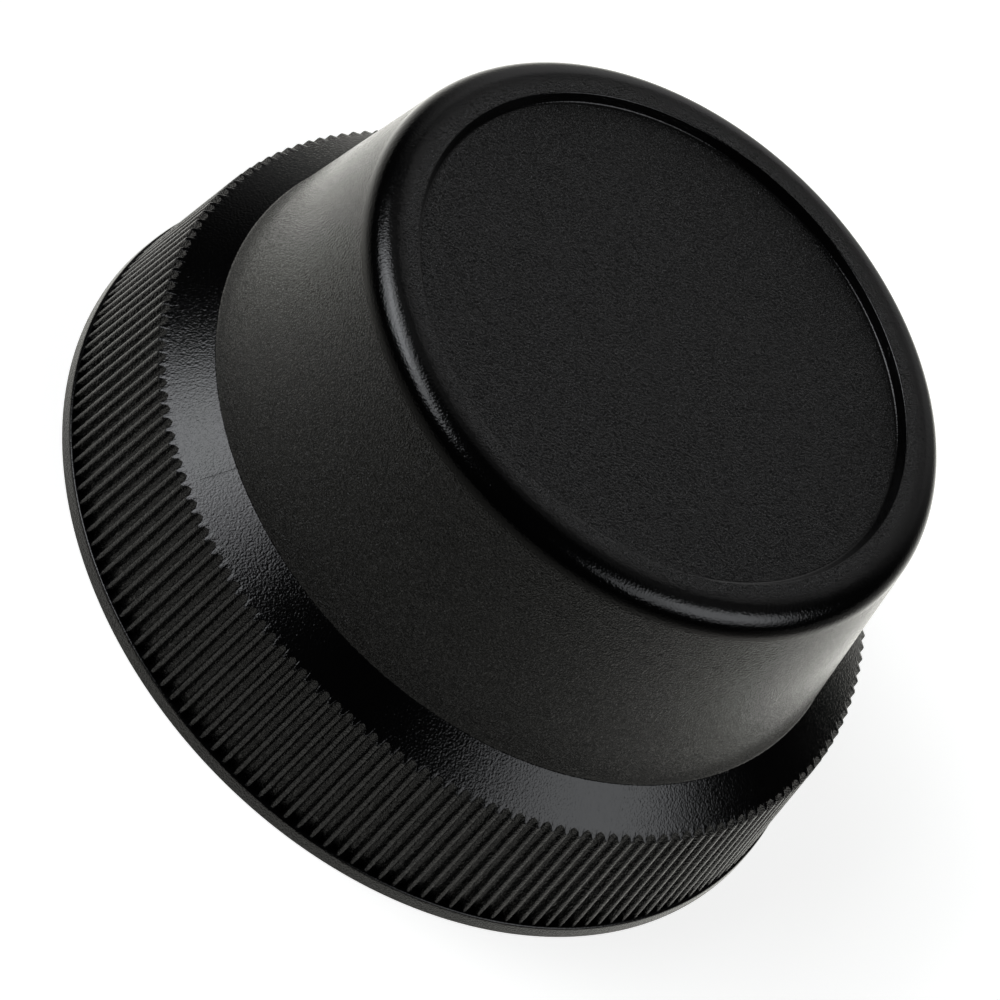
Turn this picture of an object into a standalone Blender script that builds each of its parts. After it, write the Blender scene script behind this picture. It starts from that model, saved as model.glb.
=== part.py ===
"""Rear cap for an interchangeable camera lens, moulded in black plastic as one piece.

The cap stands on its open rim with the closed end up. Its axis is +Z, and the origin is
the centre of the rim plane. All sizes are in metres.

From the rim up, the outside has a narrow lip, a tall grip ring with fine upright grooves,
a plain sloping shoulder, a tapered wall with a rounded top edge, and a flat face with a
shallow round recess. The grooves run out through the shoulder, so its edge is scalloped.
Inside are the bayonet lugs that hold the cap on the lens.
"""
import math

import bmesh
import bpy

# Lip that the cap stands on
RIM_RADIUS = 0.0265
RIM_HEIGHT = 0.0009
RIM_DRAFT = math.radians(6.65)
RIM_BEVEL = 0.00012

# Grip ring: ribs with a flat crest, and grooves with steep sides and a flat floor
RIB_COUNT = 168
RIB_TURN = math.radians(1.48)
RIB_WIDTH = 0.00031
RIB_SETBACK = 0.00026
CREST_DRAFT = math.radians(6.65)
GROOVE_DEPTH = 0.00063
GROOVE_DRAFT = math.radians(5.3)
GROOVE_POWER = 2.0 / 3.0
GROOVE_SIDES = 5

# Upper end of each rib, where the crest narrows towards the shoulder's edge
TIP_SHARE = 0.45
TIP_LENGTH = 0.0006

# Plain shoulder above the grip ring, and the foot of the wall that stands on it
SHOULDER_SLOPE = math.radians(33.9)
SHOULDER_MARGIN = 0.0003
WALL_FOOT_RADIUS = 0.02234
WALL_FOOT_HEIGHT = 0.01153

# Tapered wall, rounded top edge and flat face
WALL_DRAFT = math.radians(9.75)
CAP_HEIGHT = 0.02628
TOP_ROUND = 0.0017
TOP_ROUND_STEPS = 4

# Shallow round recess in the face
RECESS_RADIUS = 0.01711
RECESS_DEPTH = 0.00054
RECESS_RUN = 0.00035

# Inside: walls of even thickness, and a bevel at the mouth
GRIP_WALL = 0.0020
SHELL_WALL = 0.0018
FACE_WALL = 0.0016
INNER_ROUND = 0.0012
INNER_ROUND_STEPS = 3
MOUTH_BEVEL = 0.0004

# Bayonet lugs inside the mouth, with a stop at the end of one of them
LUG_COUNT = 4
LUG_ARC = math.radians(34.0)
LUG_TURN = math.radians(12.0)
LUG_REACH = 0.0019
LUG_HEIGHT = 0.0016
LUG_RAISE = 0.0014
LUG_RAMP_ARC = math.radians(8.0)
LUG_RAMP_DROP = 0.0006
LUG_STEPS = 10
STOP_ARC = math.radians(4.0)
STOP_INSET = math.radians(0.4)
STOP_REACH = 0.0014
STOP_SINK = 0.0008
STOP_HEIGHT = 0.0022
STOP_STEPS = 2
ROOTED = 0.0006

# Number of flat sides of the turned surfaces
OUTER_SIDES = RIB_COUNT
INNER_SIDES = RIB_COUNT // 2

SMOOTH_ANGLE = math.radians(25.0)


def clear_scene():
    """Remove whatever the opened file holds."""
    for old in list(bpy.data.objects):
        bpy.data.objects.remove(old, do_unlink=True)


def satin_black():
    """Black moulded plastic with a satin skin."""
    material = bpy.data.materials.new("black_plastic")
    material.use_nodes = True
    shader = material.node_tree.nodes["Principled BSDF"]
    shader.inputs["Base Color"].default_value = (0.014, 0.014, 0.013, 1.0)
    shader.inputs["Roughness"].default_value = 0.48
    shader.inputs["Metallic"].default_value = 0.0
    return material


def lip_radius(height):
    """Radius of the lip, which leans inwards from the rim plane."""
    return RIM_RADIUS - math.tan(RIM_DRAFT) * height


def crest_radius(height):
    """Radius of the rib crests, which lean inwards from the lip."""
    return RIM_RADIUS - RIB_SETBACK - math.tan(CREST_DRAFT) * (height - RIM_HEIGHT)


def floor_radius(height):
    """Radius of the groove floors, which lean inwards a little less than the crests."""
    foot = RIM_RADIUS - RIB_SETBACK - GROOVE_DEPTH
    return foot - math.tan(GROOVE_DRAFT) * (height - RIM_HEIGHT)


def rib_radius(height, share):
    """Radius at a share of the groove's depth: 0 on the crest, 1 on the groove floor."""
    return (1.0 - share) * crest_radius(height) + share * floor_radius(height)


def shoulder_end(share):
    """Height at which a line of the grip ring meets the cone of the shoulder."""
    slope = math.tan(SHOULDER_SLOPE)
    foot = rib_radius(0.0, share)
    lean = foot - rib_radius(1.0, share)
    return (WALL_FOOT_HEIGHT - slope * (foot - WALL_FOOT_RADIUS)) / (1.0 - slope * lean)


def shoulder_height(radius):
    """Height of the shoulder's cone at a radius."""
    return WALL_FOOT_HEIGHT - math.tan(SHOULDER_SLOPE) * (radius - WALL_FOOT_RADIUS)


def wall_radius(height):
    """Radius of the tapered wall."""
    return WALL_FOOT_RADIUS - math.tan(WALL_DRAFT) * (height - WALL_FOOT_HEIGHT)


def grip_outline(crest_width):
    """Angle and share of depth of each point round the grip ring, rib by rib.

    The crest is flat. The groove's half width goes with a power of the cosine of a half
    turn, and its depth with the same power of the sine. The power is below one, so the
    sides of the groove are steep and its floor is nearly flat.
    """
    pitch = 2.0 * math.pi / RIB_COUNT
    groove_arc = pitch - crest_width / crest_radius(RIM_HEIGHT)
    points = []
    for rib in range(RIB_COUNT):
        middle = RIB_TURN + (rib + 0.5) * pitch
        for step in range(GROOVE_SIDES + 1):
            turn = math.pi * step / GROOVE_SIDES
            across = math.copysign(abs(math.cos(turn)) ** GROOVE_POWER, math.cos(turn))
            depth = max(0.0, math.sin(turn)) ** GROOVE_POWER
            points.append((middle - 0.5 * groove_arc * across, depth))
    return points


def even_angles(sides):
    """Angles of a turned ring, starting at the middle of the first crest."""
    return [RIB_TURN + 2.0 * math.pi * side / sides for side in range(sides)]


def add_ring(mesh, angles, radii, heights):
    """Add one closed ring of points, and return them with their angles."""
    ring = []
    for angle, radius, height in zip(angles, radii, heights):
        point = (radius * math.cos(angle), radius * math.sin(angle), height)
        ring.append((angle, mesh.verts.new(point)))
    return ring


def add_round(mesh, sides, radius, height):
    """Add a plain round ring."""
    return add_ring(mesh, even_angles(sides), [radius] * sides, [height] * sides)


def add_level_grip(mesh, crest_width, height):
    """Add a level ring with the grooved outline."""
    outline = grip_outline(crest_width)
    angles = [angle for angle, share in outline]
    radii = [rib_radius(height, share) for angle, share in outline]
    return add_ring(mesh, angles, radii, [height] * len(outline))


def add_scalloped_edge(mesh):
    """Add the ring where the crests and grooves run out into the shoulder's cone."""
    outline = grip_outline(TIP_SHARE * RIB_WIDTH)
    angles = [angle for angle, share in outline]
    heights = [shoulder_end(share) for angle, share in outline]
    radii = [rib_radius(shoulder_end(share), share) for angle, share in outline]
    return add_ring(mesh, angles, radii, heights)


def add_band(mesh, lower, upper):
    """Join two rings that have the same number of points with four-sided faces."""
    count = len(lower)
    for here in range(count):
        after = (here + 1) % count
        corners = (lower[here][1], lower[after][1], upper[after][1], upper[here][1])
        mesh.faces.new(corners)


def add_stitch(mesh, lower, upper):
    """Join two rings of different counts with triangles, going round both by angle."""
    low = high = 0
    while low < len(lower) or high < len(upper):
        next_low = lower[(low + 1) % len(lower)][0] + 2.0 * math.pi * ((low + 1) // len(lower))
        next_high = upper[(high + 1) % len(upper)][0] + 2.0 * math.pi * ((high + 1) // len(upper))
        from_low = lower[low % len(lower)][1]
        from_high = upper[high % len(upper)][1]
        if high == len(upper) or (low < len(lower) and next_low <= next_high):
            low += 1
            mesh.faces.new((from_low, lower[low % len(lower)][1], from_high))
        else:
            high += 1
            mesh.faces.new((from_low, upper[high % len(upper)][1], from_high))


def add_lid(mesh, ring):
    """Close a ring with one flat face."""
    mesh.faces.new([vertex for angle, vertex in ring])


def join_rings(mesh, rings):
    """Join each ring to the next one."""
    for lower, upper in zip(rings, rings[1:]):
        if len(lower) == len(upper):
            add_band(mesh, lower, upper)
        else:
            add_stitch(mesh, lower, upper)


def rounded_edge(radius, top, round_radius, steps, draft):
    """Points of a rounded edge between a wall with draft and a flat face.

    radius is where the wall would reach the height top with no rounding. The arc starts
    square to the wall's draft and ends level, so both ends are tangent.
    """
    inset = round_radius * (1.0 - math.sin(draft)) / math.cos(draft)
    centre = radius - inset
    points = []
    for step in range(steps + 1):
        turn = draft + (0.5 * math.pi - draft) * step / steps
        reach = centre + round_radius * math.cos(turn)
        points.append((reach, top - round_radius + round_radius * math.sin(turn)))
    return points


def outer_rings(mesh):
    """Rings of the outside, from the rim plane up and in to the recess."""
    crown = rounded_edge(
        wall_radius(CAP_HEIGHT), CAP_HEIGHT, TOP_ROUND, TOP_ROUND_STEPS, WALL_DRAFT
    )
    unbroken = floor_radius(shoulder_end(1.0)) - SHOULDER_MARGIN
    turned = [(unbroken, shoulder_height(unbroken)), (WALL_FOOT_RADIUS, WALL_FOOT_HEIGHT)]
    turned += crown
    turned.append((RECESS_RADIUS, CAP_HEIGHT))
    turned.append((RECESS_RADIUS - RECESS_RUN, CAP_HEIGHT - RECESS_DEPTH))
    side = RIM_HEIGHT - RIM_BEVEL
    rings = [add_round(mesh, OUTER_SIDES, RIM_RADIUS, 0.0)]
    rings.append(add_round(mesh, OUTER_SIDES, lip_radius(side), side))
    rings.append(add_round(mesh, OUTER_SIDES, lip_radius(RIM_HEIGHT) - RIM_BEVEL, RIM_HEIGHT))
    rings.append(add_level_grip(mesh, RIB_WIDTH, RIM_HEIGHT))
    rings.append(add_level_grip(mesh, RIB_WIDTH, shoulder_end(0.0) - TIP_LENGTH))
    rings.append(add_scalloped_edge(mesh))
    rings += [add_round(mesh, OUTER_SIDES, radius, height) for radius, height in turned]
    return rings


def inner_profile():
    """Radius and height of the inside, from the mouth up to the ceiling."""
    bore = floor_radius(RIM_HEIGHT) - GRIP_WALL
    drop = SHELL_WALL / math.cos(SHOULDER_SLOPE)
    slope = math.tan(SHOULDER_SLOPE)
    ledge = WALL_FOOT_HEIGHT - drop - slope * (bore - WALL_FOOT_RADIUS)
    shell = SHELL_WALL / math.cos(WALL_DRAFT)
    lean = math.tan(WALL_DRAFT)
    foot = wall_radius(0.0) - shell
    level = WALL_FOOT_HEIGHT - drop
    throat = (level - slope * (foot - WALL_FOOT_RADIUS)) / (1.0 - slope * lean)
    ceiling = CAP_HEIGHT - RECESS_DEPTH - FACE_WALL
    corner = wall_radius(ceiling) - shell
    profile = [(bore + MOUTH_BEVEL, 0.0), (bore, MOUTH_BEVEL), (bore, ledge)]
    profile.append((foot - lean * throat, throat))
    profile += rounded_edge(corner, ceiling, INNER_ROUND, INNER_ROUND_STEPS, WALL_DRAFT)
    return profile


def inner_rings(mesh):
    """Rings of the inside, from the mouth up to the ceiling."""
    return [add_round(mesh, INNER_SIDES, radius, height) for radius, height in inner_profile()]


def lug_section(bore, share):
    """Corners of a lug's section: low and high on the wall, high and low at its tip.

    share runs from 0 at the leading end to 1. Over the first part of the arc the upper
    side, which draws the lens down, rises as a ramp.
    """
    ramp = min(1.0, share * LUG_ARC / LUG_RAMP_ARC)
    low = LUG_RAISE
    high = LUG_RAISE + LUG_HEIGHT - LUG_RAMP_DROP * (1.0 - ramp)
    root = bore + ROOTED
    tip = bore - LUG_REACH
    return [(root, low), (root, high), (tip, high), (tip, low)]


def add_sector(mesh, sections):
    """Join four-cornered sections, each with its angle, into one closed solid."""
    loops = []
    for angle, corners in sections:
        loop = []
        for radius, height in corners:
            loop.append(mesh.verts.new((radius * math.cos(angle), radius * math.sin(angle), height)))
        loops.append(loop)
    for first, second in zip(loops, loops[1:]):
        for here in range(4):
            after = (here + 1) % 4
            mesh.faces.new((first[here], first[after], second[after], second[here]))
    mesh.faces.new(loops[0])
    mesh.faces.new(loops[-1])


def add_lugs(mesh):
    """The bayonet lugs, evenly spaced round the mouth."""
    bore = floor_radius(RIM_HEIGHT) - GRIP_WALL
    for lug in range(LUG_COUNT):
        start = LUG_TURN + 2.0 * math.pi * lug / LUG_COUNT
        sections = []
        for step in range(LUG_STEPS + 1):
            share = step / LUG_STEPS
            sections.append((start + LUG_ARC * share, lug_section(bore, share)))
        add_sector(mesh, sections)


def add_stop(mesh):
    """The stop that ends the turn, a short post on the far end of the first lug."""
    bore = floor_radius(RIM_HEIGHT) - GRIP_WALL
    low = LUG_RAISE + LUG_HEIGHT - STOP_SINK
    high = LUG_RAISE + LUG_HEIGHT + STOP_HEIGHT
    root = bore + ROOTED
    tip = bore - STOP_REACH
    corners = [(root, low), (root, high), (tip, high), (tip, low)]
    start = LUG_TURN + LUG_ARC - STOP_INSET - STOP_ARC
    sections = []
    for step in range(STOP_STEPS + 1):
        sections.append((start + STOP_ARC * step / STOP_STEPS, corners))
    add_sector(mesh, sections)


def mesh_object(name, mesh, material):
    """Turn a bmesh into an object with its faces pointing out."""
    bmesh.ops.recalc_face_normals(mesh, faces=mesh.faces)
    data = bpy.data.meshes.new(name)
    mesh.to_mesh(data)
    mesh.free()
    data.materials.append(material)
    thing = bpy.data.objects.new(name, data)
    bpy.context.scene.collection.objects.link(thing)
    return thing


def build_shell(material):
    """The turned and grooved body of the cap."""
    mesh = bmesh.new()
    outer = outer_rings(mesh)
    inner = inner_rings(mesh)
    join_rings(mesh, outer)
    join_rings(mesh, inner)
    join_rings(mesh, [inner[0], outer[0]])
    add_lid(mesh, outer[-1])
    add_lid(mesh, inner[-1])
    return mesh_object("rear_cap", mesh, material)


def add_to(body, name, fill, material):
    """Make a guide solid with the function fill, and fuse it with the body."""
    mesh = bmesh.new()
    fill(mesh)
    guide = mesh_object(name, mesh, material)
    guide.hide_render = True
    guide.display_type = "WIRE"
    union = body.modifiers.new(name, "BOOLEAN")
    union.operation = "UNION"
    union.solver = "EXACT"
    union.object = guide


def main():
    clear_scene()
    plastic = satin_black()
    body = build_shell(plastic)
    add_to(body, "bayonet_lugs", add_lugs, plastic)
    add_to(body, "bayonet_stop", add_stop, plastic)
    body.data.shade_smooth()
    body.data.set_sharp_from_angle(angle=SMOOTH_ANGLE)


main()
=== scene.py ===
"""Rear lens cap in satin black moulded plastic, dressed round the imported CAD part.

The cap is one moulding, so one finely divided surface stands for the CAD solid. It is
worked out from the same sizes as the solid, with the small edge roundings, the rounded
feet of the grip ribs and the skin of the plastic added. All sizes are in metres.
"""

import bpy
import numpy as np
from mathutils import Matrix, Vector


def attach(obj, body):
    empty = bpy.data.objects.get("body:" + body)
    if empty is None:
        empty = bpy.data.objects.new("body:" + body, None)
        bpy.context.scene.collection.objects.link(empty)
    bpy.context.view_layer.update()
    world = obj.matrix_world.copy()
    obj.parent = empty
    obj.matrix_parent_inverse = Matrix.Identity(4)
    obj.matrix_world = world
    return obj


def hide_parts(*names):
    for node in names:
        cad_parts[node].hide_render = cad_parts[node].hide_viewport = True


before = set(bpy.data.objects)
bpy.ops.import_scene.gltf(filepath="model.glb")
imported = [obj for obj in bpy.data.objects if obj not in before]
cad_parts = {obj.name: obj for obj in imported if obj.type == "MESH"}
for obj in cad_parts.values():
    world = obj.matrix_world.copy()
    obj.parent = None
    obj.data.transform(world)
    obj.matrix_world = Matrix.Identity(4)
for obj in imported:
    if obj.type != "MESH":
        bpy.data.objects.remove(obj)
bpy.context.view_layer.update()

# Lip that the cap stands on
RIM_RADIUS = 0.0265
RIM_HEIGHT = 0.0009
RIM_DRAFT = np.radians(6.65)
RIM_ROUND = 0.00015

# Grip ring: ribs with a flat crest, and grooves with steep sides between them
RIB_COUNT = 168
RIB_TURN = np.radians(1.48)
RIB_WIDTH = 0.00031
RIB_SETBACK = 0.00026
CREST_DRAFT = np.radians(6.65)
GROOVE_DEPTH = 0.00063
GROOVE_DRAFT = np.radians(5.3)
GROOVE_POWER = 2.0 / 3.0
RIB_EDGE = 0.00009
FOOT_SHARE = 0.7
FOOT_LENGTH = 0.0009
ARCH_SPREAD = 0.65
ARCH_POWER = 1.87
ARCH_ROUND = 0.0001

# Shoulder, tapered wall, rounded top edge and shallow recess
SHOULDER_SLOPE = np.radians(33.9)
SHOULDER_PLAIN = 0.0246
WALL_FOOT_RADIUS = 0.02234
WALL_FOOT_HEIGHT = 0.01153
WALL_FOOT_ROUND = 0.00015
WALL_DRAFT = np.radians(9.75)
CAP_HEIGHT = 0.02628
TOP_ROUND = 0.0017
RECESS_RADIUS = 0.01711
RECESS_DEPTH = 0.00054
RECESS_RUN = 0.00035
RECESS_ROUND = 0.00008
RECESS_FOOT = 0.00015

# Inside: walls, mouth and bayonet lugs
GRIP_WALL = 0.0020
SHELL_WALL = 0.0018
FACE_WALL = 0.0016
INNER_ROUND = 0.0012
MOUTH_BEVEL = 0.0004
LUG_COUNT = 4
LUG_ARC = np.radians(34.0)
LUG_TURN = np.radians(12.0)
LUG_REACH = 0.0019
LUG_HEIGHT = 0.0016
LUG_RAISE = 0.0014
LUG_RAMP_ARC = np.radians(8.0)
LUG_RAMP_DROP = 0.0006
LUG_EDGE = 0.00015
LUG_SLANT = 0.00003
STOP_ARC = np.radians(4.0)
STOP_REACH = 0.0014
STOP_HEIGHT = 0.0022

# Points round the axis on the plain surfaces, and in the bore
PLAIN_SIDES = 2 * RIB_COUNT
LUG_SIDES = 4 * RIB_COUNT

# Polished zones of the plastic: each starts or ends over the span between two values
SHOULDER_START = (0.02225, 0.0224)
SHOULDER_SUNK = (0.000002, 0.000008)
CROWN_START = (0.0175, 0.0190)
CROWN_BOTTOM = (0.02445, 0.02495)
RECESS_START = (0.01655, 0.0167)
RECESS_END = (0.0171, 0.0172)
FACE_BOTTOM = (0.0255, 0.0256)
LEDGE_START = (0.0257, 0.0259)
LEDGE_BOTTOM = (0.0007, 0.0008)
LEDGE_TOP = (0.00092, 0.00096)

# Parting line of the mould down the wall, and a scuff across the shoulder
SEAM_TURN = np.radians(-18.5)
SEAM_WIDTH = 0.00009
SEAM_BOTTOM = (0.0118, 0.014)
SEAM_TOP = (0.0235, 0.0244)
SCUFF_TURN = np.radians(-122.6)
SCUFF_WIDTH = 0.00006
SCUFF_END = (0.0241, 0.0243)

# Skin of the plastic: spacing of its patterns, and relief in micrometres
MICROMETRE = 0.000001
GRAIN_SPACING = 0.0001
GRAIN_RELIEF = 32.0
FACE_GRAIN_LOSS = 0.33
FLECK_SPACING = 0.00009
FACE_FLECK_LOSS = 0.15
PEEL_SPACING = 0.00014
PEEL_RELIEF = 16.0
SHOULDER_PEEL_RELIEF = 4.0
CLOUD_SPACING = 0.006
SEAM_RELIEF = 14.0
SCUFF_RELIEF = 7.0
MATT_ROUGHNESS = 0.2
CLOUD_ROUGHNESS = 0.02
POLISH_GAIN = 0.06

# Painted pool of light on the floor, which only the gloss sees as a painted reflection; the
# reflected floor is painted brighter behind the cap and darker to the right
PAINTED_POOL_MIDDLE = (0.007, 0.010)
PAINTED_POOL_REACH_X = (0.054, 0.030)
PAINTED_POOL_REACH_Y = (0.021, 0.042)
PAINTED_POOL_LEVEL = 1.55
PAINTED_POOL_LEVEL_BEHIND = 0.6
PAINTED_FLOOR_LEVEL = 0.12
PAINTED_FLOOR_LEVEL_BEHIND = 0.2
PAINTED_FLOOR_FADE_RIGHT = 0.5

# Soft patch and dim glow that the gloss sees behind the cap
PATCH_LEVEL = 0.52
PATCH_MIDDLE = 0.1
PATCH_SPREAD = (0.57, 0.42)
PATCH_TOP = (0.51, 0.67)
GLOW_LEVEL = 0.15
GLOW_FADE_RIGHT = 0.06
GLOW_BOTTOM = (0.68, 0.8)
GLOW_TOP = (0.85, 0.99)
DARK_LEVEL = 0.01

# Lines that the left and the right lights lie along
LEFT_ALONG = (0.1, -0.99, -0.12)
RIGHT_ALONG = (0.16, 0.985, -0.05)

# Camera
CAMERA_LENS = 256.42
CAMERA_ELEVATION = np.radians(43.404)
CAMERA_ROLL = np.radians(45.564)
CAMERA_PLACE = (0.0000906, -0.3162752, 0.3062382)

BLACK = (0.0, 0.0, 0.0, 1.0)


class Skin:
    """A closed surface of rings round the axis, each joined to the ring before it.

    The rings run along one profile, from the middle of the ceiling inside, out over the
    rim, to the middle of the outer face, so that every face points outwards.
    """

    def __init__(self, height):
        self.points = [np.array([[0.0, 0.0, height]])]
        self.quads = []
        self.triangles = []
        self.start = 0
        self.count = 1

    def ring(self, angles, radii, heights):
        """Point i is at the angle i, at its radius from the axis and its height."""
        angles = np.asarray(angles)
        radii = np.broadcast_to(radii, angles.shape)
        heights = np.broadcast_to(heights, angles.shape)
        points = np.stack([radii * np.cos(angles), radii * np.sin(angles), heights], axis=1)
        start = self.start + self.count
        self.points.append(points)
        self.join(self.start, self.count, start, angles.size)
        self.start = start
        self.count = angles.size

    def plain(self, sides, path):
        """One even ring for each radius and height of a profile."""
        angles = RIB_TURN + 2.0 * np.pi * np.arange(sides) / sides
        for radius, height in path:
            self.ring(angles, radius, height)

    def close(self, height):
        """The pole that closes the surface."""
        start = self.start + self.count
        self.points.append(np.array([[0.0, 0.0, height]]))
        self.join(self.start, self.count, start, 1)

    def join(self, low, low_count, high, high_count):
        """Four-sided faces between equal rings, and fans where one has more points."""
        if low_count == high_count:
            here = np.arange(low_count)
            after = np.roll(here, -1)
            self.quads.append(np.stack([low + here, low + after, high + after, high + here], 1))
        elif low_count == 1:
            here = np.arange(high_count)
            after = np.roll(here, -1)
            self.triangles.append(np.stack([low + 0 * here, high + after, high + here], 1))
        elif high_count == 1:
            here = np.arange(low_count)
            after = np.roll(here, -1)
            self.triangles.append(np.stack([low + here, low + after, high + 0 * here], 1))
        elif high_count > low_count:
            self.fan(low, low_count, high, high_count, True)
        else:
            self.fan(high, high_count, low, low_count, False)

    def fan(self, coarse, coarse_count, fine, fine_count, outward):
        """Each coarse point takes the fine edges nearest to it, half on either side."""
        ratio = fine_count // coarse_count
        here = np.arange(fine_count)
        after = (here + 1) % fine_count
        owner = ((here + ratio // 2) // ratio) % coarse_count
        edges = np.stack([coarse + owner, fine + after, fine + here], 1)
        point = np.arange(coarse_count)
        middle = (point * ratio + ratio // 2) % fine_count
        gaps = np.stack([coarse + point, coarse + (point + 1) % coarse_count, fine + middle], 1)
        both = np.concatenate([edges, gaps])
        self.triangles.append(both if outward else both[:, ::-1])

    def mesh(self, name):
        """The finished mesh, smooth but for its hard corners."""
        points = np.concatenate(self.points)
        faces = np.concatenate(self.quads).tolist() + np.concatenate(self.triangles).tolist()
        data = bpy.data.meshes.new(name)
        data.from_pydata(points.tolist(), [], faces)
        data.shade_smooth()
        data.set_sharp_from_angle(angle=np.radians(50.0))
        return data


def rounded(corners):
    """A profile with each corner (radius, height, rounding, steps) turned into an arc.

    The arc starts and ends at rounding times the tangent of half the turn from the
    corner, and its points lie at even turns about the centre. A point at a quarter of the
    rounding before and after each arc keeps the flat parts flat when they are shaded.
    """
    path = []
    for index, (radius, height, rounding, steps) in enumerate(corners):
        here = np.array([radius, height])
        if rounding == 0.0:
            path.append((radius, height))
            continue
        before = np.array(corners[index - 1][:2]) - here
        after = np.array(corners[index + 1][:2]) - here
        before /= np.linalg.norm(before)
        after /= np.linalg.norm(after)
        half = 0.5 * np.arccos(np.dot(before, after))
        centre = here + (before + after) / np.linalg.norm(before + after) * rounding / np.sin(half)
        first = here + before * rounding / np.tan(half) - centre
        last = here + after * rounding / np.tan(half) - centre
        turn = np.arccos(np.clip(np.dot(first, last) / rounding**2, -1.0, 1.0))
        path.append(tuple(centre + first + 0.25 * rounding * before))
        for step in range(steps + 1):
            part = step / steps
            arm = (np.sin((1.0 - part) * turn) * first + np.sin(part * turn) * last) / np.sin(turn)
            path.append(tuple(centre + arm))
        path.append(tuple(centre + last + 0.25 * rounding * after))
    return path


def crest_radius(height):
    """Radius of the rib crests, a cone that leans inwards from the lip."""
    return RIM_RADIUS - RIB_SETBACK - np.tan(CREST_DRAFT) * (height - RIM_HEIGHT)


def floor_radius(height):
    """Radius of the groove floors, a cone that leans inwards a little less."""
    foot = RIM_RADIUS - RIB_SETBACK - GROOVE_DEPTH
    return foot - np.tan(GROOVE_DRAFT) * (height - RIM_HEIGHT)


def rib_radius(height, share):
    """Radius at a share of the groove's depth: 0 on the crest, 1 on the groove floor."""
    return (1.0 - share) * crest_radius(height) + share * floor_radius(height)


def shoulder_end(share):
    """Height at which a line of the grip ring meets the cone of the shoulder."""
    slope = np.tan(SHOULDER_SLOPE)
    foot = rib_radius(0.0, share)
    lean = foot - rib_radius(1.0, share)
    return (WALL_FOOT_HEIGHT - slope * (foot - WALL_FOOT_RADIUS)) / (1.0 - slope * lean)


def shoulder_height(radius):
    """Height of the shoulder's cone at a radius."""
    return WALL_FOOT_HEIGHT - np.tan(SHOULDER_SLOPE) * (radius - WALL_FOOT_RADIUS)


def wall_radius(height):
    """Radius of the tapered wall."""
    return WALL_FOOT_RADIUS - np.tan(WALL_DRAFT) * (height - WALL_FOOT_HEIGHT)


def grip_section(height):
    """Angle and share of depth of each point round the grip ring at a height.

    From the middle of a crest the section runs flat, turns down over a small rounded
    edge, and then follows the groove to its middle: the width goes with a power of the
    cosine of a half turn, and the depth with the same power of its sine, so the sides are
    steep and the floor is nearly flat. The other side mirrors it. Towards its foot the
    crest narrows like the tip of a finger.
    """
    depth = crest_radius(height) - floor_radius(height)
    pitch = 2.0 * np.pi / RIB_COUNT
    rise = np.clip((height - RIM_HEIGHT) / FOOT_LENGTH, 0.0, 1.0)
    taper = FOOT_SHARE + (1.0 - FOOT_SHARE) * np.sqrt(rise * (2.0 - rise))
    crest = 0.5 * RIB_WIDTH / crest_radius(RIM_HEIGHT) * taper
    edge = min(RIB_EDGE / crest_radius(RIM_HEIGHT), 0.8 * crest)
    groove = 0.5 * pitch - crest
    first = np.arcsin((RIB_EDGE / depth) ** (1.0 / GROOVE_POWER))
    turn = first + (0.5 * np.pi - first) * np.arange(6) / 5
    across = np.maximum(np.cos(turn), 0.0) ** GROOVE_POWER
    slant = 1.0 - np.sqrt(0.5)
    offsets = np.concatenate([[0.0, crest - edge, crest - slant * edge],
                              crest + groove * (1.0 - across)])
    shares = np.concatenate([[0.0, 0.0, slant * RIB_EDGE / depth], np.sin(turn) ** GROOVE_POWER])
    offsets = np.concatenate([offsets, pitch - offsets[-2:0:-1]])
    shares = np.concatenate([shares, shares[-2:0:-1]])
    starts = RIB_TURN + pitch * np.arange(RIB_COUNT)[:, None]
    return (starts + offsets).ravel(), np.tile(shares, RIB_COUNT)


def arch_outline(angles):
    """Angles and shares of the arches that the rounded groove edges make on the shoulder.

    With x the distance from the middle of a groove in pitches, each point moves out to
    half of (2 x) to the power of ARCH_SPREAD, and the arch's share of depth there is
    1 - (2 x) to the power of ARCH_POWER.
    """
    pitch = 2.0 * np.pi / RIB_COUNT
    along = (angles - RIB_TURN) / pitch % 1.0 - 0.5
    twice = (2.0 * np.abs(along)) ** ARCH_SPREAD
    moved = 0.5 * np.sign(along) * twice
    return angles + pitch * (moved - along), 1.0 - twice**ARCH_POWER


def add_grip(skin):
    """The ribs from the ledge up, with grooves that run out into the shoulder.

    Each ring follows the section at its height. The groove edges are rounded where they
    meet the shoulder: with a the point below the edge, b the sharp edge and c the arch on
    the shoulder, a ring lies at each (1 - t)^2 a + 2 t (1 - t) b + t^2 c. A plain ring then
    ends the arches.
    """
    for rise in (0.0, 0.06, 0.18, 0.36, 0.62, 1.0):
        height = RIM_HEIGHT + FOOT_LENGTH * rise
        angles, shares = grip_section(height)
        skin.ring(angles, rib_radius(height, shares), height)
    top = shoulder_end(0.0)
    angles, shares = grip_section(top)
    skin.ring(angles, rib_radius(top - 6.0 * ARCH_ROUND, shares), top - 6.0 * ARCH_ROUND)
    ends = shoulder_end(shares)
    below = ends - ARCH_ROUND
    arch_angles, arch_shares = arch_outline(angles)
    arch_ends = shoulder_end(arch_shares)
    low = rib_radius(below, shares)
    sharp = rib_radius(ends, shares)
    high = rib_radius(arch_ends, arch_shares)
    for part in (0.0, 0.25, 0.5, 0.75, 1.0):
        first = (1.0 - part) ** 2
        middle = 2.0 * part * (1.0 - part)
        last = part**2
        skin.ring((first + middle) * angles + last * arch_angles,
                  first * low + middle * sharp + last * high,
                  first * below + middle * ends + last * arch_ends)
    even = RIB_TURN + 2.0 * np.pi * np.arange(angles.size) / angles.size
    skin.ring(0.5 * (arch_angles + even), SHOULDER_PLAIN, shoulder_height(SHOULDER_PLAIN))


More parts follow.
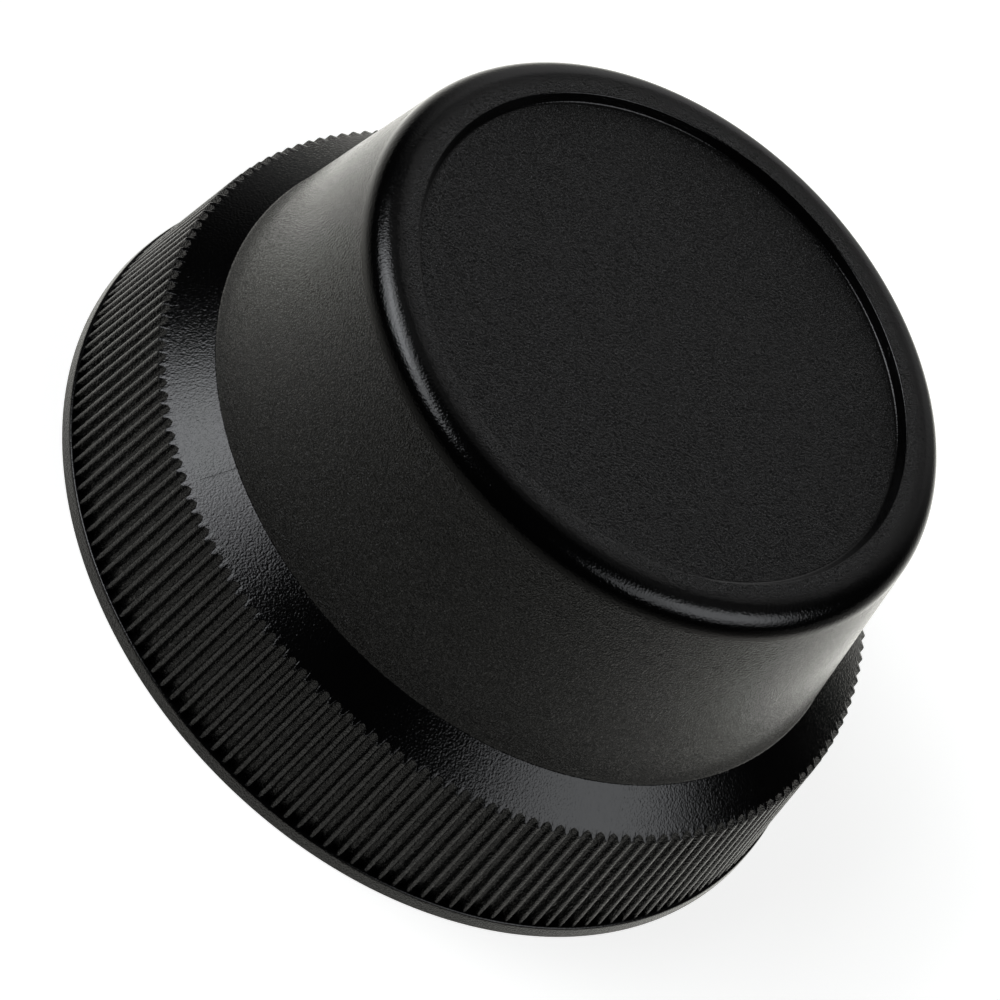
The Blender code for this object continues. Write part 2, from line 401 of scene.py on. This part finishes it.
def inner_path():
    """Profile of the inside from the ceiling's edge down to the ledge over the bore."""
    bore = floor_radius(RIM_HEIGHT) - GRIP_WALL
    drop = SHELL_WALL / np.cos(SHOULDER_SLOPE)
    slope = np.tan(SHOULDER_SLOPE)
    ledge = WALL_FOOT_HEIGHT - drop - slope * (bore - WALL_FOOT_RADIUS)
    shell = SHELL_WALL / np.cos(WALL_DRAFT)
    lean = np.tan(WALL_DRAFT)
    foot = wall_radius(0.0) - shell
    throat = (WALL_FOOT_HEIGHT - drop - slope * (foot - WALL_FOOT_RADIUS)) / (1.0 - slope * lean)
    ceiling = CAP_HEIGHT - RECESS_DEPTH - FACE_WALL
    corner = wall_radius(ceiling) - shell
    return rounded([
        (0.5 * corner, ceiling, 0.0, 0),
        (corner, ceiling, INNER_ROUND, 6),
        (foot - lean * throat, throat, RIM_ROUND, 2),
        (bore, ledge, 0.0, 0),
    ])


def lug_windows(angles):
    """1 over the lugs and over the stop, else 0, and how far up its ramp each lug is."""
    pitch = 2.0 * np.pi / LUG_COUNT
    along = (angles - LUG_TURN) % pitch
    lug = (along < LUG_ARC).astype(float)
    ramp = np.clip(along / LUG_RAMP_ARC, 0.0, 1.0)
    past = (angles - LUG_TURN - LUG_ARC + STOP_ARC) % (2.0 * np.pi)
    stop = (past < STOP_ARC).astype(float)
    return lug, stop, ramp


def add_bore(skin):
    """The bore with its lugs and stop, from the ledge down to the mouth.

    The radius is the bore less the reach of a lug between a lug's two sides, and less the
    reach of the stop up to the stop's top. Each side slants a little, as moulded ones do.
    """
    bore = floor_radius(RIM_HEIGHT) - GRIP_WALL
    angles = RIB_TURN + 2.0 * np.pi * np.arange(LUG_SIDES) / LUG_SIDES
    lug, stop, ramp = lug_windows(angles)
    top = LUG_RAISE + LUG_HEIGHT + STOP_HEIGHT
    high = LUG_RAISE + LUG_HEIGHT - LUG_RAMP_DROP * (1.0 - ramp)
    post = bore - STOP_REACH * stop
    tip = np.minimum(post, bore - LUG_REACH * lug)
    eased = np.minimum(bore, tip + LUG_EDGE)
    skin.ring(angles, bore, inner_path()[-1][1])
    skin.ring(angles, bore, top)
    skin.ring(angles, np.minimum(bore, post + LUG_EDGE), top - LUG_SLANT)
    skin.ring(angles, post, top - LUG_SLANT - LUG_EDGE)
    skin.ring(angles, post, high)
    skin.ring(angles, np.minimum(post, eased), high - LUG_SLANT)
    skin.ring(angles, tip, high - LUG_SLANT - LUG_EDGE)
    skin.ring(angles, tip, LUG_RAISE + LUG_SLANT + LUG_EDGE)
    skin.ring(angles, eased, LUG_RAISE + LUG_SLANT)
    skin.ring(angles, bore, LUG_RAISE)
    skin.ring(angles, bore, MOUTH_BEVEL)
    skin.ring(angles, bore + MOUTH_BEVEL, 0.0)


def build_cap():
    """The whole moulding as one closed surface."""
    recess_floor = CAP_HEIGHT - RECESS_DEPTH
    skin = Skin(CAP_HEIGHT - RECESS_DEPTH - FACE_WALL)
    skin.plain(PLAIN_SIDES, inner_path()[:-1])
    add_bore(skin)
    skin.plain(PLAIN_SIDES, rounded([
        (floor_radius(RIM_HEIGHT) - 0.5 * GRIP_WALL, 0.0, 0.0, 0),
        (RIM_RADIUS, 0.0, 0.5 * RIM_ROUND, 3),
        (RIM_RADIUS - np.tan(RIM_DRAFT) * RIM_HEIGHT, RIM_HEIGHT, RIM_ROUND, 6),
        (0.5 * (RIM_RADIUS + crest_radius(RIM_HEIGHT)) - RIM_ROUND, RIM_HEIGHT, 0.0, 0),
    ]))
    add_grip(skin)
    skin.plain(PLAIN_SIDES, rounded([
        (SHOULDER_PLAIN - ARCH_ROUND, shoulder_height(SHOULDER_PLAIN - ARCH_ROUND), 0.0, 0),
        (WALL_FOOT_RADIUS, WALL_FOOT_HEIGHT, WALL_FOOT_ROUND, 4),
        (wall_radius(CAP_HEIGHT), CAP_HEIGHT, TOP_ROUND, 18),
        (RECESS_RADIUS, CAP_HEIGHT, RECESS_ROUND, 4),
        (RECESS_RADIUS - RECESS_RUN, recess_floor, RECESS_FOOT, 4),
        (0.6 * RECESS_RADIUS, recess_floor, 0.0, 0),
    ]))
    skin.plain(PLAIN_SIDES // 4, [(0.2 * RECESS_RADIUS, recess_floor)])
    skin.close(recess_floor)
    return skin.mesh("cap_moulding")


class Wire:
    """A value in a material. An expression on wires adds its Math nodes."""

    def __init__(self, finish, socket):
        self.finish = finish
        self.socket = socket

    def other(self, name):
        """Another output of the node that this value comes from."""
        return Wire(self.finish, self.socket.node.outputs[name])

    def math(self, operation, first, second):
        """A Math node on two values."""
        return self.finish.node("Math", {"operation": operation}, {0: first, 1: second})

    def by(self, operation, second=0.0):
        """A Math node on this value and a second one, where the operation takes two."""
        return self.math(operation, self, second)

    def __add__(self, other):
        return self.math("ADD", self, other)

    def __radd__(self, other):
        return self.math("ADD", other, self)

    def __sub__(self, other):
        return self.math("SUBTRACT", self, other)

    def __rsub__(self, other):
        return self.math("SUBTRACT", other, self)

    def __mul__(self, other):
        return self.math("MULTIPLY", self, other)

    def __rmul__(self, other):
        return self.math("MULTIPLY", other, self)

    def __pow__(self, other):
        return self.math("POWER", self, other)


class Finish:
    """The nodes of a material or of the world, and the one method that adds them."""

    def __init__(self, tree):
        self.tree = tree

    def node(self, kind, settings=None, sockets=None, output=0):
        """Add a node: its settings come first, then the values or links of its sockets."""
        made = self.tree.nodes.new("ShaderNode" + kind)
        for name, value in (settings or {}).items():
            setattr(made, name, value)
        for name, value in (sockets or {}).items():
            self.put(made.inputs[name], value)
        return Wire(self, made.outputs[output])

    def put(self, socket, value):
        """Link a wire to a socket, or set its value."""
        if isinstance(value, Wire):
            self.tree.links.new(value.socket, socket)
        else:
            socket.default_value = value

    def step(self, value, low, high):
        """0 below low and 1 above high, with a smooth rise between."""
        settings = {"interpolation_type": "SMOOTHSTEP"}
        return self.node("MapRange", settings, {"Value": value, "From Min": low, "From Max": high})

    def between(self, value, start, end):
        """1 between a start and an end, each a pair of values that it rises or falls over."""
        return self.step(value, *start) * (1.0 - self.step(value, *end))

    def lopsided(self, value, below, above):
        """A value over one scale where it is negative, and over another where it isn't."""
        return value.by("MINIMUM") * (1.0 / below) + value.by("MAXIMUM") * (1.0 / above)

    def noise(self, place, size, detail, roughness=0.5):
        """Cloudy noise from 0 to 1 with spots of about the size."""
        sockets = {"Vector": place, "Scale": 1.0 / size, "Detail": detail, "Roughness": roughness}
        return self.node("TexNoise", {}, sockets)

    def line(self, across, along, turn, width):
        """1 on a line out from the axis at an angle from +X, and 0 beyond the width from it."""
        off = float(np.cos(turn)) * along - float(np.sin(turn)) * across
        return 1.0 - self.step(off.by("ABSOLUTE"), 0.2 * width, width)

    def blend(self, share, first, second):
        """A colour between two colours."""
        return self.node("Mix", {"data_type": "RGBA"}, {"Factor": share, 6: first, 7: second}, 2)


def new_material(name):
    """A material with its node builder and its Principled shader."""
    material = bpy.data.materials.new(name)
    material.use_nodes = True
    return material, Finish(material.node_tree), material.node_tree.nodes["Principled BSDF"]


def satin_plastic():
    """Black plastic: a fine matt grain, and polished bands on the shoulder and top edge.

    The matt parts have pale flecks and a relief of small soft bumps. The polished parts
    have the ripple of orange peel. The walls of the recess and the ledge above the lip
    are polished too.
    """
    material, finish, shader = new_material("satin_black_plastic")
    place = finish.node("TexCoord", output="Object")
    across = finish.node("SeparateXYZ", {}, {0: place})
    along = across.other("Y")
    height = across.other("Z")
    radius = (across * across + along * along) ** 0.5
    slope = float(np.tan(SHOULDER_SLOPE))
    sunk = WALL_FOOT_HEIGHT + slope * WALL_FOOT_RADIUS - slope * radius - height
    shoulder = finish.step(radius, *SHOULDER_START) * (1.0 - finish.step(sunk, *SHOULDER_SUNK))
    crown = finish.step(radius, *CROWN_START) * finish.step(height, *CROWN_BOTTOM)
    face = finish.step(height, *FACE_BOTTOM)
    recess = face * finish.between(radius, RECESS_START, RECESS_END)
    ledge = finish.step(radius, *LEDGE_START) * finish.between(height, LEDGE_BOTTOM, LEDGE_TOP)
    polish = shoulder + crown + recess + ledge
    seam = finish.line(across, along, SEAM_TURN, SEAM_WIDTH)
    seam = seam * finish.between(height, SEAM_BOTTOM, SEAM_TOP)
    near = 1.0 - finish.step(along, -0.001, 0.0)
    scuff = finish.line(across, along, SCUFF_TURN, SCUFF_WIDTH) * shoulder
    scuff = scuff * near * (1.0 - finish.step(radius, *SCUFF_END))
    grain = finish.step(finish.noise(place, GRAIN_SPACING, 0.0), 0.32, 0.68)
    fleck = finish.step(finish.noise(place, FLECK_SPACING, 0.0), 0.54, 0.7)
    peel = finish.noise(place, PEEL_SPACING, 1.0)
    cloud = finish.noise(place, CLOUD_SPACING, 3.0)
    fleck = fleck * (1.0 - FACE_FLECK_LOSS * face)
    matt = finish.blend(fleck, BLACK, (0.028, 0.028, 0.0274, 1.0))
    colour = finish.blend(polish, matt, (0.0004, 0.0004, 0.0005, 1.0))
    roughness = MATT_ROUGHNESS + CLOUD_ROUGHNESS * cloud - POLISH_GAIN * polish
    relief = GRAIN_RELIEF * grain * (1.0 - polish) * (1.0 - FACE_GRAIN_LOSS * face)
    relief = relief - SEAM_RELIEF * seam - SCUFF_RELIEF * scuff
    relief = relief + peel * (PEEL_RELIEF * polish + SHOULDER_PEEL_RELIEF * shoulder)
    bump = finish.node("Bump", {}, {"Strength": 1.0, "Distance": MICROMETRE, "Height": relief})
    finish.put(shader.inputs["Base Color"], colour)
    finish.put(shader.inputs["Roughness"], roughness)
    finish.put(shader.inputs["Normal"], bump)
    return material


def pale_floor_and_painted_pool():
    """Pale floor that keeps its shadow and shows as white, and shows a painted pool of light in the
    gloss.

    In reflections its painted brightness falls away from a middle near the cap, on each side at its
    own rate: with u and v the distances from the middle over the reach on that side, it goes
    with exp(1 - sqrt(1 + u^2 + v^2)).
    """
    material, finish, shader = new_material("pale_floor_and_painted_pool")
    place = finish.node("TexCoord", output="Object")
    across = finish.node("SeparateXYZ", {}, {0: place})
    along = across.other("Y")
    # painted pool of light: its brightness falls away from a middle near the cap
    u = finish.lopsided(across - PAINTED_POOL_MIDDLE[0], *PAINTED_POOL_REACH_X)
    v = finish.lopsided(along - PAINTED_POOL_MIDDLE[1], *PAINTED_POOL_REACH_Y)
    fall = 1.0 - (1.0 + u * u + v * v) ** 0.5
    # the painted pool is brighter behind the cap
    behind = finish.step(along, 0.0, 0.025)
    painted_pool = fall.by("EXPONENT") * (PAINTED_POOL_LEVEL + PAINTED_POOL_LEVEL_BEHIND * behind)
    # the painted floor level is brighter far behind the cap
    far_behind = finish.step(along, 0.04, 0.12)
    level = painted_pool + PAINTED_FLOOR_LEVEL + PAINTED_FLOOR_LEVEL_BEHIND * far_behind
    # painted shade in the reflected floor: darker to the right
    level = level * (1.0 - PAINTED_FLOOR_FADE_RIGHT * finish.step(across, 0.06, 0.12))
    camera = finish.node("LightPath", output="Is Camera Ray")
    lift = finish.blend(camera, BLACK, (0.74, 0.74, 0.74, 1.0))
    shader.inputs["Base Color"].default_value = (0.78, 0.78, 0.75, 1.0)
    shader.inputs["Roughness"].default_value = 0.9
    shader.inputs["Specular IOR Level"].default_value = 0.0
    shader.inputs["Emission Strength"].default_value = 1.0
    finish.put(shader.inputs["Emission Color"], lift)
    # an emitting shader that glows in reflections only, painting the pool of light into the gloss
    glow = material.node_tree.nodes.new("ShaderNodeBsdfPrincipled")
    glow.inputs["Base Color"].default_value = BLACK
    glow.inputs["Specular IOR Level"].default_value = 0.0
    glow.inputs["Emission Strength"].default_value = 2.0
    painted_reflection_tint = finish.blend(0.5 * level, BLACK, (1.0, 0.993, 0.935, 1.0))
    finish.put(glow.inputs["Emission Color"], painted_reflection_tint)
    # glossy and transmission rays see the painted reflection, and other rays see the lit pale floor
    gloss = camera.other("Is Glossy Ray").by("MAXIMUM", camera.other("Is Transmission Ray"))
    both = finish.node("MixShader", {}, {0: gloss})
    finish.tree.links.new(shader.outputs[0], both.socket.node.inputs[1])
    finish.tree.links.new(glow.outputs[0], both.socket.node.inputs[2])
    finish.put(finish.tree.nodes["Material Output"].inputs["Surface"], both)
    return material


def object_from(data, material):
    """An object at the origin with the material."""
    thing = bpy.data.objects.new(data.name, data)
    data.materials.append(material)
    bpy.context.scene.collection.objects.link(thing)
    return thing


def build_floor():
    """A wide flat floor: rings of points that lie further apart further out."""
    sides = 64
    radii = np.array([0.2, 1.0, 4.0])
    angles = 2.0 * np.pi * np.arange(sides) / sides
    grid_r, grid_a = np.meshgrid(radii, angles, indexing="ij")
    points = np.stack([grid_r * np.cos(grid_a), grid_r * np.sin(grid_a), 0.0 * grid_r], axis=2)
    here = np.arange(radii.size - 1)[:, None] * sides + np.arange(sides)[None, :]
    after = np.roll(here, -1, axis=1)
    quads = np.stack([here, here + sides, after + sides, after], axis=2).reshape(-1, 4)
    data = bpy.data.meshes.new("studio_floor")
    data.from_pydata(points.reshape(-1, 3).tolist(), [], quads.tolist() + [list(range(sides))])
    return object_from(data, pale_floor_and_painted_pool())


def add_light(name, direction, along, length, width, radiance):
    """A soft rectangular light a metre away that looks at the cap, with its length along a line."""
    lamp = bpy.data.lights.new(name, "AREA")
    lamp.shape = "RECTANGLE"
    lamp.color = (0.945, 0.968, 1.0)
    lamp.size = length
    lamp.size_y = width
    lamp.energy = radiance * np.pi * length * width
    holder = bpy.data.objects.new(name, lamp)
    towards = Vector(direction).normalized()
    upward = towards.cross(Vector(along)).normalized()
    sideways = upward.cross(towards)
    turn = Matrix((sideways, upward, towards)).transposed().to_4x4()
    holder.matrix_world = Matrix.Translation(towards) @ turn
    holder.visible_camera = False
    bpy.context.scene.collection.objects.link(holder)


def add_camera():
    """The camera at the viewing angle of the photograph."""
    data = bpy.data.cameras.new("camera")
    data.sensor_width = 36.0
    data.lens = CAMERA_LENS
    camera = bpy.data.objects.new("camera", data)
    back = np.array([0.0, -np.cos(CAMERA_ELEVATION), np.sin(CAMERA_ELEVATION)])
    level = np.array([1.0, 0.0, 0.0])
    upright = np.cross(back, level)
    right = np.cos(CAMERA_ROLL) * level + np.sin(CAMERA_ROLL) * upright
    up = -np.sin(CAMERA_ROLL) * level + np.cos(CAMERA_ROLL) * upright
    turn = Matrix(np.stack([right, up, back], axis=1).tolist()).to_4x4()
    camera.matrix_world = Matrix.Translation(Vector(CAMERA_PLACE)) @ turn
    bpy.context.scene.collection.objects.link(camera)
    bpy.context.scene.camera = camera


def build_world():
    """A dark studio with one soft pale patch behind the cap, from the horizon up.

    The patch fades to the sides with exp(-t * t), t being the sideways slope over the
    spread on that side. It ends softly at its top, and a dim glow reaches higher, stronger
    on the left.
    """
    world = bpy.data.worlds.new("studio")
    world.use_nodes = True
    finish = Finish(world.node_tree)
    place = finish.node("TexCoord")
    parts = finish.node("SeparateXYZ", {}, {0: place})
    back = parts.other("Y")
    up = parts.other("Z")
    slope = parts.by("DIVIDE", back.by("MAXIMUM", 0.05))
    slope = finish.lopsided(slope + PATCH_MIDDLE, *PATCH_SPREAD)
    spread = (slope * slope * -1.0).by("EXPONENT")
    patch = PATCH_LEVEL * spread * (1.0 - finish.step(up, *PATCH_TOP))
    glow = GLOW_LEVEL - GLOW_FADE_RIGHT * finish.step(parts, -0.3, 0.0)
    glow = glow * finish.between(up, GLOW_BOTTOM, GLOW_TOP)
    level = (patch + glow) * finish.step(back, 0.05, 0.3) + DARK_LEVEL
    finish.put(world.node_tree.nodes["Background"].inputs["Color"], level)
    bpy.context.scene.world = world


cap = object_from(build_cap(), satin_plastic())
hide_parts("rear_cap")
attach(cap, "root")
build_floor()
add_light("left_box", (-0.570, -0.157, 0.806), LEFT_ALONG, 1.01, 0.38, 2.19)
add_light("left_low_box", (-0.744, -0.128, 0.689), LEFT_ALONG, 0.53, 0.42, 2.58)
add_light("right_box", (0.706, -0.079, 0.704), RIGHT_ALONG, 0.94, 0.41, 1.2)
add_light("right_core", (0.741, 0.027, 0.681), RIGHT_ALONG, 0.48, 0.69, 0.85)
add_camera()
build_world()
bpy.context.scene.view_settings.view_transform = "Standard"
